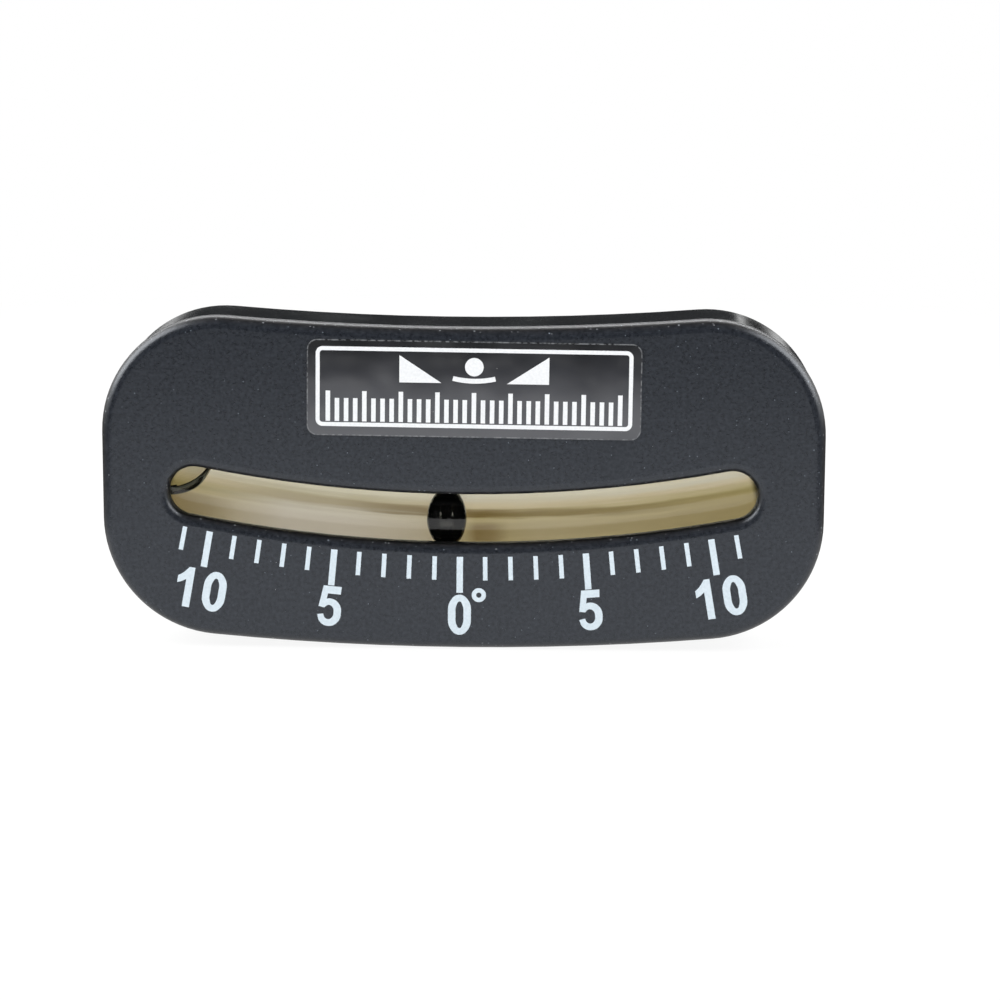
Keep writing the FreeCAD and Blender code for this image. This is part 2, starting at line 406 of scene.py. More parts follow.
def newMaterial(name):
    material = bpy.data.materials.new(name)
    material.use_nodes = True
    tree = material.node_tree
    tree.nodes.clear()
    output = addNode(tree, "ShaderNodeOutputMaterial")
    place = addNode(tree, "ShaderNodeTexCoord").outputs["Object"]
    return material, tree, output, place


def perMetre(size):
    return 1 / (size * mm)


def noiseOn(tree, place, size, detail=2.0):
    # soft noise from 0 to 1, with features of this size
    return addNode(tree, "ShaderNodeTexNoise", {
        "Vector": place, "Scale": perMetre(size), "Detail": detail}).outputs["Fac"]


def mapOver(tree, value, low, high, fromLow=0.0, fromHigh=1.0, **settings):
    # the value between fromLow and fromHigh, drawn out from low to high
    return addNode(tree, "ShaderNodeMapRange", {
        "Value": value, "From Min": fromLow, "From Max": fromHigh, "To Min": low, "To Max": high},
        **settings).outputs[0]


def calculate(tree, operation, *values):
    return addNode(tree, "ShaderNodeMath", dict(enumerate(values)), operation=operation).outputs[0]


def distanceOf(tree, x, y):
    flat = addNode(tree, "ShaderNodeCombineXYZ", {"X": x, "Y": y})
    return addNode(tree, "ShaderNodeVectorMath", {0: flat.outputs[0]}, operation="LENGTH").outputs["Value"]


def mixColours(tree, share, first, second):
    # each colour is written in hex or comes from a node
    sides = [colourOf(side) if isinstance(side, str) else side for side in (first, second)]
    return addNode(tree, "ShaderNodeMix", {
        "Factor": share, "A": sides[0], "B": sides[1]}, data_type="RGBA").outputs[2]


def bumpOn(tree, height, deep, strength):
    return addNode(tree, "ShaderNodeBump", {
        "Height": height, "Distance": deep * mm, "Strength": strength}).outputs[0]


def endMaterial(material, tree, output, kind, inputs):
    shader = addNode(tree, kind, inputs)
    tree.links.new(shader.outputs[0], output.inputs[0])
    return material


def dustOver(tree, place, base, spacing, speck, colour, share):
    # specks over a base colour, one at most in each cell and only in some of the cells, some of them faint
    cells = addNode(tree, "ShaderNodeTexVoronoi", {"Vector": place, "Scale": perMetre(spacing)})
    pick = addNode(tree, "ShaderNodeSeparateColor", {"Color": cells.outputs["Color"]})
    chosen = calculate(tree, "LESS_THAN", pick.outputs["Red"], share)
    size = calculate(tree, "MULTIPLY", pick.outputs["Green"], speck / spacing)
    near = calculate(tree, "LESS_THAN", cells.outputs["Distance"], size)
    there = calculate(tree, "MULTIPLY", near, chosen)
    faint = mapOver(tree, pick.outputs["Blue"], faintestSpeck, 1.0)
    return mixColours(tree, calculate(tree, "MULTIPLY", there, faint), base, colour)


def coverPlastic():
    # matt black ABS from a spark-eroded tool: a fine grain that spreads the light into a soft grey sheen
    material, tree, output, place = newMaterial("sparkTexturedAbs")
    parts = addNode(tree, "ShaderNodeSeparateXYZ", {"Vector": place})
    clumps = noiseOn(tree, place, cover["mottle"])
    mottle = mapOver(tree, clumps, 0.0, 1.0, cover["mottleFrom"], cover["mottleTo"])
    # the rolled rims keep the coarse skin that the face has lost to handling, with grit in it, and are
    # painted darker the deeper they lie below the face, as painted shade
    rimFrom, rimTo = [(faceDeep + cover[end]) * mm for end in ("rimFrom", "rimTo")]
    rim = mapOver(tree, parts.outputs["Y"], 0.0, 1.0, rimFrom, rimTo)
    rimShade = mixColours(tree, mottle, *cover["rimShadeTones"])
    rimShaded = mixColours(tree, rim, mixColours(tree, mottle, *cover["tones"]), rimShade)
    hazy = dustOver(tree, place, rimShaded, *cover["haze"], cover["hazeShare"])
    dusty = dustOver(tree, place, hazy, *cover["dust"], mapOver(tree, rim, *cover["dustShares"]))
    gritShare = calculate(tree, "MULTIPLY", rim, cover["rimGritShare"])
    gritty = dustOver(tree, place, dusty, *cover["grit"], gritShare)
    # painted shade: the walls of the slot are painted near black, as no light reaches them
    aside = calculate(tree, "ABSOLUTE", parts.outputs["X"])
    within = calculate(tree, "LESS_THAN", aside, cover["slotReach"] * mm)
    inSlot = calculate(tree, "MULTIPLY", boreMask(tree, place, cover["slotGloom"]), within)
    shaded = mixColours(tree, inSlot, gritty, cover["slotPaintedShade"])
    rough = mapOver(tree, noiseOn(tree, place, cover["patch"]), *cover["roughness"])
    rougher = calculate(tree, "MULTIPLY_ADD", rim, cover["rimRoughness"], rough)
    grain = noiseOn(tree, place, cover["grain"], cover["grainDetail"])
    bump = bumpOn(tree, grain, cover["grainDeep"], mapOver(tree, rim, *cover["grainStrengths"]))
    return endMaterial(material, tree, output, "ShaderNodeBsdfPrincipled", {
        "Base Color": shaded, "Roughness": rougher, "IOR": cover["index"],
        "Specular Tint": colourOf(cover["sheen"]), "Normal": bump})


def housingPlastic():
    # black ABS from a polished tool: mirror-like, with handling smudges and settled dust
    material, tree, output, place = newMaterial("polishedAbs")
    smudge = noiseOn(tree, place, housing["smudge"], housing["smudgeDetail"])
    rough = mapOver(tree, smudge, *housing["roughness"], housing["smudgeFrom"], housing["smudgeTo"])
    dusty = dustOver(tree, place, housing["tone"], *housing["dust"], housing["dustShare"])
    return endMaterial(material, tree, output, "ShaderNodeBsdfPrincipled", {
        "Base Color": dusty, "Roughness": rough, "IOR": housing["index"],
        "Specular Tint": colourOf(housing["sheen"])})


def tubeGlass():
    # borosilicate glass; the bore is wetted by a liquid of the same index, so it can't be seen
    material, tree, output, place = newMaterial("borosilicateGlass")
    mask = boreMask(tree, place, (vial["radius"] + vial["boreRadius"]) / 2)
    glass = addNode(tree, "ShaderNodeBsdfPrincipled", {
        "Base Color": colourOf(vial["glass"]), "Roughness": 0.0, "IOR": vial["index"],
        "Transmission Weight": 1.0})
    clear = addNode(tree, "ShaderNodeBsdfTransparent")
    return endMaterial(material, tree, output, "ShaderNodeMixShader", {
        "Fac": mask, 1: glass.outputs[0], 2: clear.outputs[0]})


def bentPlace(tree, place):
    # where a point lies on the vial's arc: its distance from the arc's centre, its lean from straight down,
    # and its depth
    parts = addNode(tree, "ShaderNodeSeparateXYZ", {"Vector": place})
    below = calculate(tree, "SUBTRACT", arcCentreHigh * mm, parts.outputs["Z"])
    radius = distanceOf(tree, parts.outputs["X"], below)
    return radius, calculate(tree, "ARCTAN2", parts.outputs["X"], below), parts.outputs["Y"]


def boreMask(tree, place, limit):
    # 1 nearer to the vial's curved axis than limit, and 0 further out
    radius, _, depth = bentPlace(tree, place)
    off = calculate(tree, "SUBTRACT", radius, vial["arcRadius"] * mm)
    behind = calculate(tree, "SUBTRACT", depth, vial["axisDeep"] * mm)
    return calculate(tree, "LESS_THAN", distanceOf(tree, off, behind), limit * mm)


def clearWall(name, tint):
    # a wall that bends nothing: oil on glass gives a straw tint, and the air pocket's grey tint is painted
    # shade for the light lost at its surfaces
    material, tree, output, _ = newMaterial(name)
    return endMaterial(material, tree, output, "ShaderNodeBsdfTransparent", {"Color": colourOf(tint)})


def driftingGloss(name, drift, tones, roughness, index):
    # a smooth surface whose tone wanders between two
    material, tree, output, place = newMaterial(name)
    tone = mixColours(tree, noiseOn(tree, place, drift), *tones)
    return endMaterial(material, tree, output, "ShaderNodeBsdfPrincipled", {
        "Base Color": tone, "Roughness": roughness, "IOR": index})


def meniscus():
    # painted shade: the oil's curved edge against the glass bends the light away, so it is drawn in
    # near-black tones as a dark line
    return driftingGloss(
        "oilMeniscus", oil["edgeDrift"], oil["edgeShadeTones"], oil["edgeRoughness"], oil["edgeIndex"])


def oilTop():
    # painted reflection: the oil's top, seen through the air at a low angle, is painted in the grey-green of
    # the gloom at the vial's end that it mirrors
    return driftingGloss("oilTop", oil["topDrift"], oil["topReflectionTones"], oil["topRoughness"], oil["topIndex"])


def screenInk(name, tones):
    # white screen ink, thin enough to let some of the grain through
    return driftingGloss(name, inks["grain"], tones, inks["roughness"], inks["index"])


def addRamp(tree, value, stops):
    # each stop is a colour, or a plain number that goes in as grey
    ramp = addNode(tree, "ShaderNodeValToRGB", {"Fac": value})
    while len(ramp.color_ramp.elements) < len(stops):
        ramp.color_ramp.elements.new(0.5)
    for element, (at, shade) in zip(ramp.color_ramp.elements, stops):
        element.position = at
        element.color = colourOf(shade) if isinstance(shade, str) else (shade, shade, shade, 1.0)
    return ramp.outputs["Color"]


def stripFilm():
    # matt cream polyester, its colour painted in lengthwise bands of light and shade for the light that the
    # oil-filled tube focuses on it: a bright line at the top, fine streaks, and brown bands of painted shade
    # through the middle and at the foot
    material, tree, output, place = newMaterial("creamPolyesterFilm")
    radius, lean, _ = bentPlace(tree, place)
    low, high = [(vial["arcRadius"] + strip[edge]) * mm for edge in ("seenLow", "seenHigh")]
    down = mapOver(tree, radius, 0.0, 1.0, low, high)
    drift = noiseOn(tree, place, strip["wanderLong"])
    wander = mapOver(tree, drift, -strip["wander"], strip["wander"])
    # fine streaks, drawn out along the arc
    along = calculate(tree, "MULTIPLY", lean, vial["arcRadius"] / strip["streakLong"])
    across = calculate(tree, "MULTIPLY", radius, perMetre(strip["streakWide"]))
    drawn = addNode(tree, "ShaderNodeCombineXYZ", {"X": along, "Y": across})
    lines = addNode(tree, "ShaderNodeTexNoise", {
        "Vector": drawn.outputs[0], "Scale": 1.0, "Detail": strip["streakDetail"]})
    fine = mapOver(tree, lines.outputs["Fac"], -strip["streaks"], strip["streaks"])
    level = calculate(tree, "ADD", down, calculate(tree, "ADD", wander, fine))
    reach = math.radians(strip["reach"])
    far = mapOver(tree, lean, 0.0, 1.0, -reach, reach)
    paleBands, darkBands = [addRamp(tree, level, strip[age]) for age in ("paleBands", "darkBands")]
    film = mixColours(tree, addRamp(tree, far, strip["darkBandShare"]), paleBands, darkBands)
    middle = mapOver(tree, far, strip["brownFrom"], strip["brownTo"])
    strength = addRamp(tree, far, strip["brownShadeStrength"])
    streaked = addShadeBand(tree, film, level, middle, strip["brownCore"], strip["brownWide"], strength)
    strength = addRamp(tree, far, strip["footShadeStrength"])
    shadedFilm = addShadeBand(tree, streaked, level, 1.0, strip["footCore"], strip["footWide"], strength)
    return endMaterial(material, tree, output, "ShaderNodeBsdfPrincipled", {
        "Base Color": shadedFilm, "Roughness": strip["roughness"], "IOR": strip["index"]})


def addShadeBand(tree, film, level, middle, core, wide, strength):
    # a brown band of painted shade along the film, full within core of its middle and gone at wide
    apart = calculate(tree, "ABSOLUTE", calculate(tree, "SUBTRACT", level, middle))
    inside = mapOver(tree, apart, 1.0, 0.0, core, wide, interpolation_type="SMOOTHSTEP")
    return mixColours(tree, calculate(tree, "MULTIPLY", inside, strength), film, strip["brown"])


def blackOxideSteel():
    # a bearing ball, polished and then blackened: a deep gloss with a trace of haze
    material, tree, output, place = newMaterial("blackOxideSteel")
    haze = noiseOn(tree, place, steelBall["haze"], steelBall["hazeDetail"])
    return endMaterial(material, tree, output, "ShaderNodeBsdfPrincipled", {
        "Base Color": colourOf(steelBall["tone"]), "IOR": steelBall["index"],
        "Roughness": mapOver(tree, haze, *steelBall["roughness"])})


def foamCells(name, colour):
    # closed-cell foam, whose cut cells leave a matt, pitted skin, each pit painted darker towards its middle
    # as painted shade
    material, tree, output, place = newMaterial(name)
    cells = addNode(tree, "ShaderNodeTexVoronoi", {"Vector": place, "Scale": perMetre(foam["cell"])})
    shade = mixColours(tree, cells.outputs["Distance"], foam["cellPitShade"], colour)
    bump = bumpOn(tree, cells.outputs["Distance"], foam["cell"] / foam["cellWidths"], foam["cellStrength"])
    return endMaterial(material, tree, output, "ShaderNodeBsdfPrincipled", {
        "Base Color": shade, "Roughness": foam["roughness"], "IOR": foam["index"], "Normal": bump})


def nitrileRubber():
    # moulded rubber plugs with a fine blasted skin
    material, tree, output, place = newMaterial("nitrileRubber")
    grain = noiseOn(tree, place, rubber["grain"], rubber["grainDetail"])
    tone = mixColours(tree, grain, *rubber["tones"])
    bump = bumpOn(tree, grain, rubber["grainDeep"], rubber["grainStrength"])
    return endMaterial(material, tree, output, "ShaderNodeBsdfPrincipled", {
        "Base Color": tone, "Roughness": rubber["roughness"], "IOR": rubber["index"], "Normal": bump})


def labelFilm():
    # smoke-grey polyester film: glossy and slightly rippled, greyer towards its foot, with a painted
    # highlight along its cut edge
    material, tree, output, place = newMaterial("smokedPolyesterFilm")
    filmLow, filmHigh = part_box("range_label")
    centred = addNode(tree, "ShaderNodeMapping", {
        "Vector": place, "Location": (filmLow + filmHigh) / 2,
        "Rotation": (0, math.radians(label["turn"]), 0)}, vector_type="TEXTURE")
    parts = addNode(tree, "ShaderNodeSeparateXYZ", {"Vector": centred.outputs[0]})
    half = label["filmHigh"] / 2 * mm
    fall = mapOver(tree, parts.outputs["Z"], 0.0, 1.0, half, -half)
    clouds = noiseOn(tree, place, label["cloud"])
    cloudy = calculate(tree, "MULTIPLY_ADD", clouds, label["cloudShare"], fall)
    smoke = addRamp(tree, calculate(tree, "SUBTRACT", cloudy, label["cloudMiddle"]), label["smoke"])
    # painted highlight: a broken pale line along the film's cut edge
    broken = noiseOn(tree, place, label["edgeBreak"])
    caught = mapOver(tree, broken, 0.0, 1.0, label["edgeFrom"], label["edgeTo"])
    edgeHighlight = calculate(tree, "MULTIPLY", edgeMask(tree, parts), caught)
    tone = mixColours(tree, edgeHighlight, smoke, label["edgeHighlightTone"])
    dusty = dustOver(tree, place, tone, *label["dust"], label["dustShare"])
    ripple = noiseOn(tree, place, label["ripple"], label["rippleDetail"])
    bump = bumpOn(tree, ripple, label["rippleDeep"], label["rippleStrength"])
    return endMaterial(material, tree, output, "ShaderNodeBsdfPrincipled", {
        "Base Color": dusty, "Roughness": label["roughness"], "IOR": label["index"], "Normal": bump})


def edgeMask(tree, parts):
    # 1 within a hair of the film's rounded outline
    corner = label["filmCorner"]
    past = []
    for axis, size in (("X", label["filmWide"]), ("Z", label["filmHigh"])):
        reach = calculate(tree, "ABSOLUTE", parts.outputs[axis])
        beyond = calculate(tree, "SUBTRACT", reach, (size / 2 - corner) * mm)
        past.append(calculate(tree, "MAXIMUM", beyond, 0.0))
    return calculate(tree, "GREATER_THAN", distanceOf(tree, *past), (corner - label["filmEdge"]) * mm)


# shapes

def onArc(radius, angle, deep, centreAcross=0.0, centreHigh=arcCentreHigh):
    lean = math.radians(angle)
    return Vector((centreAcross + radius * math.sin(lean), deep, centreHigh - radius * math.cos(lean)))


def finishPiece(name, bm, materials, smooth=False):
    bmesh.ops.scale(bm, vec=(mm, mm, mm), verts=bm.verts)
    for face in bm.faces:
        face.smooth = smooth
    mesh = bpy.data.meshes.new(name)
    bm.to_mesh(mesh)
    bm.free()
    for material in materials:
        mesh.materials.append(material)
    piece = bpy.data.objects.new(name, mesh)
    bpy.context.scene.collection.objects.link(piece)
    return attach(piece, caseBody)


def addBlock(bm, long, wide, thick, turn, centre):
    block = bmesh.ops.create_cube(bm, size=1.0)["verts"]
    bmesh.ops.scale(bm, vec=(wide, thick, long), verts=block)
    # a mark at angle a leans with its radius, so it turns about the depth axis
    bmesh.ops.rotate(bm, cent=(0, 0, 0), matrix=Matrix.Rotation(-math.radians(turn), 3, "Y"), verts=block)
    bmesh.ops.translate(bm, vec=centre, verts=block)
    return block


def makeDegreeMarks(ink):
    bm = bmesh.new()
    for mark in range(-scale["lastMark"], scale["lastMark"] + 1):
        major = mark % scale["majorEvery"] == 0
        long = scale["majorLong"] if major else scale["minorLong"]
        wide = scale["majorWide"] if major else scale["minorWide"]
        angle = mark + scale["turn"]
        radius = scale["innerRadius"] + long / 2
        centre = onArc(radius, angle, faceDeep, scale["centreAcross"], scale["centreHigh"])
        addBlock(bm, long, wide, 2 * scale["ink"], angle, centre)
    return finishPiece("degreeMarks", bm, [ink])


def glyphCurve(name, outlines, thick):
    # a flat outline with its holes: each outline is a list of (x, z, corner?) in millimetres
    curve = bpy.data.curves.new(name, "CURVE")
    curve.dimensions = "2D"
    curve.fill_mode = "BOTH"
    curve.resolution_u = numerals["curveSteps"]
    curve.extrude = thick
    for points in outlines:
        spline = curve.splines.new("BEZIER")
        spline.bezier_points.add(len(points) - 1)
        spline.use_cyclic_u = True
        for place, (x, z, corner) in zip(spline.bezier_points, points):
            place.co = (x, z, 0)
            handle = "VECTOR" if corner else "AUTO"
            place.handle_left_type = place.handle_right_type = handle
    return curve


def ringOutlines(halfWide, halfHigh, sideLine, endLine, shoulder):
    # an upright oval ring, as two outlines with eight points each; the shoulder makes it rounder or squarer
    outlines = []
    for w, h in ((halfWide, halfHigh), (halfWide - sideLine, halfHigh - endLine)):
        a, b = w * shoulder, h * shoulder
        around = ((0, h), (a, b), (w, 0), (a, -b), (0, -h), (-a, -b), (-w, 0), (-a, b))
        outlines.append([(x, z, False) for x, z in around])
    return outlines


def digitOutlines(digit):
    half = numerals["high"] / 2
    if digit == "0":
        halfWide = numerals["zeroWide"] / 2
        return ringOutlines(
            halfWide, half, numerals["sideLine"], numerals["endLine"], numerals["ovalShoulder"])
    if digit == "1":
        # its stem from the right, then its flag
        return [[
            (0.85, half, True), (0.87, -half, True), (-0.05, -half, True), (-0.05, 0.98, True),
            (-0.55, 0.62, False), (-1.13, 0.36, True), (-1.13, 1.28, True),
            (-0.62, 1.66, False), (-0.24, 2.08, False), (0.13, half, True),
        ]]
    # the 5: its bar and stem, then the outside of the bowl, the hook's end and the inside of the bowl
    return [[
        (-0.92, half, True), (1.36, half, True), (1.31, 1.60, True), (-0.30, 1.60, True), (-0.41, 0.90, True),
        (0.10, 0.98, False), (1.13, 0.46, False), (1.53, -0.78, False), (1.12, -2.06, False),
        (0.05, -half, False), (-1.02, -2.14, False), (-1.43, -1.18, True), (-0.68, -1.04, True),
        (-0.46, -1.52, False), (0.0, -1.71, False), (0.44, -1.44, False), (0.60, -0.78, False),
        (0.42, -0.12, False), (-0.01, 0.13, False), (-0.34, 0.02, False), (-0.60, -0.25, True),
        (-1.34, -0.12, True),
    ]]


def makeNumerals(ink):
    bm = bmesh.new()
    layout = [("0", 0, 0.0, numerals["zeroDrop"]), ("5", -5, 0.0, 0.0), ("5", 5, 0.0, 0.0)]
    for side in (-10, 10):
        for digit, shift in (("1", -numerals["pairGap"] / 2), ("0", numerals["pairGap"] / 2)):
            layout.append((digit, side, shift, numerals["tenDrop"]))
    for digit, angle, shift, drop in layout:
        addFlatGlyph(bm, digitOutlines(digit), numerals["radius"] + drop, angle + scale["turn"], shift)
    outside, inside = numerals["degreeOutside"], numerals["degreeInside"]
    ring = ringOutlines(outside, outside, outside - inside, outside - inside, numerals["roundShoulder"])
    addFlatGlyph(bm, ring, numerals["degreeRadius"], numerals["degreeAngle"] + scale["turn"], 0.0)
    return finishPiece("degreeNumerals", bm, [ink])


def addFlatGlyph(bm, outlines, radius, angle, shift):
    curve = glyphCurve("glyph", outlines, scale["ink"])
    holder = bpy.data.objects.new("glyph", curve)
    mesh = bpy.data.meshes.new_from_object(holder)
    # upright on the face, then leant with its radius
    mesh.transform(Matrix.Rotation(math.radians(90), 4, "X"))
    mesh.transform(Matrix.Translation((shift, 0, 0)))
    mesh.transform(Matrix.Rotation(-math.radians(angle), 4, "Y"))
    centre = onArc(radius, angle, faceDeep, scale["centreAcross"], scale["centreHigh"])
    mesh.transform(Matrix.Translation(centre))
    bm.from_mesh(mesh)
    bpy.data.objects.remove(holder)
    bpy.data.curves.remove(curve)
    bpy.data.meshes.remove(mesh)


def makeLabelFrame(ink):
    bm = bmesh.new()
    half = (label["frameWide"] / 2, label["frameHigh"] / 2)
    addRoundedRing(bm, half, label["frameCorner"], label["frameLine"])
    placeOnLabel(bm)
    return finishPiece("labelFrame", bm, [ink])


def addRoundedRing(bm, half, corner, line):
    plate = bmesh.ops.create_grid(bm, x_segments=1, y_segments=1, size=1.0)["verts"]
    bmesh.ops.scale(bm, vec=(half[0], half[1], 1), verts=plate)
    bmesh.ops.bevel(
        bm, geom=plate, affect="VERTICES", offset=corner, segments=label["cornerSegments"],
        profile=roundProfile, material=-1)
    inner = list(bm.faces)
    bmesh.ops.inset_region(bm, faces=inner, thickness=line, use_even_offset=True, use_boundary=True)
    bmesh.ops.delete(bm, geom=inner, context="FACES")


def makePictogram(ink):
    bm = bmesh.new()
    high = pictogram["upperHigh"]
    for side in (-1, 1):
        foot, top = high - pictogram["wedgeHigh"] / 2, high + pictogram["wedgeHigh"] / 2
        inner = side * (pictogram["wedgeAcross"] - pictogram["wedgeLong"] / 2)
        outer = side * (pictogram["wedgeAcross"] + pictogram["wedgeLong"] / 2)
        bm.faces.new([bm.verts.new((x, y, 0)) for x, y in ((inner, foot), (outer, foot), (outer, top))])
    ball = bmesh.ops.create_circle(
        bm, cap_ends=True, segments=pictogram["ballSegments"], radius=pictogram["ballRadius"])["verts"]
    bmesh.ops.translate(bm, vec=(0, high + pictogram["ballHigh"], 0), verts=ball)
    addTubeBow(bm, high - pictogram["wedgeHigh"] / 2)
    reach = pictogram["barsEachSide"]
    for number in range(-reach, reach + 1):
        tall = pictogram["longBarHigh"] if number % pictogram["longBarEvery"] == 0 else pictogram["barHigh"]
        bar = bmesh.ops.create_grid(bm, x_segments=1, y_segments=1, size=0.5)["verts"]
        bmesh.ops.scale(bm, vec=(pictogram["barWide"], tall, 1), verts=bar)
        # all the bars stand on one line
        foot = pictogram["lowerHigh"] - pictogram["longBarHigh"] / 2
        bmesh.ops.translate(bm, vec=(number * pictogram["barPitch"], foot + tall / 2, 0), verts=bar)
    placeOnLabel(bm)
    return finishPiece("slopePictogram", bm, [ink])


def addTubeBow(bm, low):
    spread = math.radians(pictogram["tubeSpread"])
    centre = Vector((0, low + pictogram["tubeRadius"], 0))
    ends = [bm.verts.new((0, low + offset, 0)) for offset in (0, pictogram["tubeLine"])]
    edge = bm.edges.new(ends)
    bmesh.ops.rotate(bm, cent=centre, matrix=Matrix.Rotation(-spread, 3, "Z"), verts=ends)
    bmesh.ops.spin(
        bm, geom=[*ends, edge], cent=centre, axis=(0, 0, 1), angle=2 * spread, steps=pictogram["tubeSteps"])


def placeOnLabel(bm):
    # flat print gets its thickness, stands up and takes the label's tilt
    bmesh.ops.recalc_face_normals(bm, faces=bm.faces)
    bmesh.ops.reverse_faces(bm, faces=[face for face in bm.faces if face.normal.z > 0])
    bmesh.ops.solidify(bm, geom=bm.faces, thickness=2 * label["ink"])
    bmesh.ops.translate(bm, vec=(0, 0, -label["ink"]), verts=bm.verts)
    bmesh.ops.rotate(bm, cent=(0, 0, 0), matrix=Matrix.Rotation(math.radians(90), 3, "X"), verts=bm.verts)
    bmesh.ops.recalc_face_normals(bm, faces=bm.faces)
    tilt = Matrix.Rotation(math.radians(label["turn"]), 3, "Y")
    bmesh.ops.rotate(bm, cent=(0, 0, 0), matrix=tilt, verts=bm.verts)
    bmesh.ops.translate(bm, vec=(label["across"], labelDeep, label["high"]), verts=bm.verts)


def weldedCopy(node):
    # the node's own shape in millimetres, as one closed surface with flat faces joined up
    bm = bmesh.new()
    bm.from_mesh(frame["nodes"][node].data)
    bmesh.ops.scale(bm, vec=(1 / mm, 1 / mm, 1 / mm), verts=bm.verts)
    bmesh.ops.remove_doubles(bm, verts=bm.verts, dist=foam["weld"])
    bmesh.ops.dissolve_limit(bm, angle_limit=math.radians(foam["flatWithin"]), verts=bm.verts, edges=bm.edges)
    return bm


def sharpEdges(bm, least):
    return [edge for edge in bm.edges if edge.is_manifold and edge.calc_face_angle() > math.radians(least)]


def makePad(cells):
    # a die-cut sheet of foam tape: the blade leaves its edge rounded, a little hollow and uneven
    bm = weldedCopy("adhesive_pad")
    edges = sharpEdges(bm, foam["padSharp"])
    bmesh.ops.bevel(
        bm, geom=edges, affect="EDGES", offset=foam["rim"], segments=foam["rimSegments"],
        profile=roundProfile, material=-1)
    low, high = (c.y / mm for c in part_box("adhesive_pad"))
    across = [edge for edge in bm.edges if abs(edge.verts[0].co.y - edge.verts[1].co.y) > (high - low) / 2]
    bmesh.ops.subdivide_edges(bm, edges=across, cuts=foam["edgeCuts"], use_grid_fill=True)
    bm.normal_update()
    for vert in bm.verts:
        depth = (vert.co.y - low) / (high - low)
        bulge = math.sin(math.pi * depth) if foam["hollowFrom"] < depth < foam["hollowTo"] else 0
        ripple = noise.noise(vert.co * foam["rippleScale"]) * foam["ripple"]
        vert.co -= vert.normal * bulge * (foam["hollow"] + ripple)
    piece = finishPiece("foamTape", bm, [cells])
    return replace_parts(piece, "adhesive_pad")


def makeCushions(cells):
    # blocks of soft foam that hold the ends of the vial without rattle
    for side in ("left", "right"):
        bm = weldedCopy("vial_cushion_" + side)
        edges = sharpEdges(bm, foam["cushionSharp"])
        bmesh.ops.bevel(
            bm, geom=edges, affect="EDGES", offset=foam["cushionRound"], segments=foam["cushionSegments"],
            profile=roundProfile, material=-1, clamp_overlap=True)
        piece = finishPiece("foamCushion" + side.capitalize(), bm, [cells])
        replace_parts(piece, "vial_cushion_" + side)


def makeLiquid(finishes):
    bm = bmesh.new()
    radius = vial["boreRadius"] - vial["film"]
    ring = bmesh.ops.create_circle(bm, segments=vial["sides"], radius=radius)["verts"]
    # the round section stands across the vial, at its left end
    bmesh.ops.rotate(bm, cent=(0, 0, 0), matrix=Matrix.Rotation(math.radians(90), 3, "Y"), verts=ring)
    bmesh.ops.translate(bm, vec=onArc(vial["arcRadius"], 0, vial["axisDeep"]), verts=ring)
    centre = Vector((0, 0, arcCentreHigh))
    start = math.radians(vial["plugAngle"])
    bmesh.ops.rotate(bm, cent=centre, matrix=Matrix.Rotation(start, 3, "Y"), verts=ring)
    bmesh.ops.spin(bm, geom=bm.edges[:], cent=centre, axis=(0, -1, 0), angle=2 * start, steps=vial["steps"])
    bmesh.ops.holes_fill(bm, edges=bm.edges, sides=0)
    bmesh.ops.recalc_face_normals(bm, faces=bm.faces)
    addAirPocket(bm)
    piece = finishPiece("liquidFill", bm, finishes, smooth=True)
    piece.visible_shadow = False
    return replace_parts(piece, "damping_liquid")


def addAirPocket(bm):
    segments = airPocket["segments"]
    pocket = bmesh.ops.create_uvsphere(bm, u_segments=segments, v_segments=segments, radius=1.0)["verts"]
    bmesh.ops.rotate(bm, cent=(0, 0, 0), matrix=Matrix.Rotation(math.radians(90), 3, "X"), verts=pocket)
    # swollen until its front and back are flat, with a tight rim between them
    blunt = airPocket["blunt"]
    for vert in pocket:
        rim = math.hypot(vert.co.x, vert.co.z)
        vert.co /= (rim ** blunt + abs(vert.co.y) ** blunt) ** (1 / blunt)
    halves = (airPocket["halfLength"], airPocket["halfDeep"], airPocket["halfHigh"])
    bmesh.ops.scale(bm, vec=halves, verts=pocket)
    walls = list({face for vert in pocket for face in vert.link_faces})
    for face in walls:
        face.normal_update()
        facing = abs(face.normal.y)
        below = face.calc_center_median().z < 0
        edge = greyTop if facing < airPocket["floorFacing"] else darkEdge
        limit = airPocket["backFacing"] if face.normal.y > 0 else airPocket["frontFacing"]
        face.material_index = edge if below and facing < limit else airShadeWall
    for vert in pocket:
        vert.co.x *= 1 + airPocket["stretch"] * (1 + vert.co.y / airPocket["halfDeep"]) / 2
        vert.co.z += airPocket["rise"] + airPocket["lean"] * vert.co.y
    # squeezed into the bore and against the plug, then bent along the vial
    room = vial["boreRadius"] - airPocket["film"]
    plugLean = math.radians(-vial["plugAngle"] - airPocket["centreAngle"])
    plugAt = plugLean * vial["arcRadius"] + airPocket["film"]
    for vert in pocket:
        reach = math.hypot(vert.co.y, vert.co.z)
        squeeze = min(1.0, room / reach)
        along = max(vert.co.x, plugAt)
        angle = airPocket["centreAngle"] + math.degrees(along / vial["arcRadius"])
        radius = vial["arcRadius"] - vert.co.z * squeeze
        vert.co = onArc(radius, angle, vial["axisDeep"] + vert.co.y * squeeze)
    # its faces look into the air, away from the liquid
    bmesh.ops.recalc_face_normals(bm, faces=walls)
    bmesh.ops.reverse_faces(bm, faces=walls)


# studio

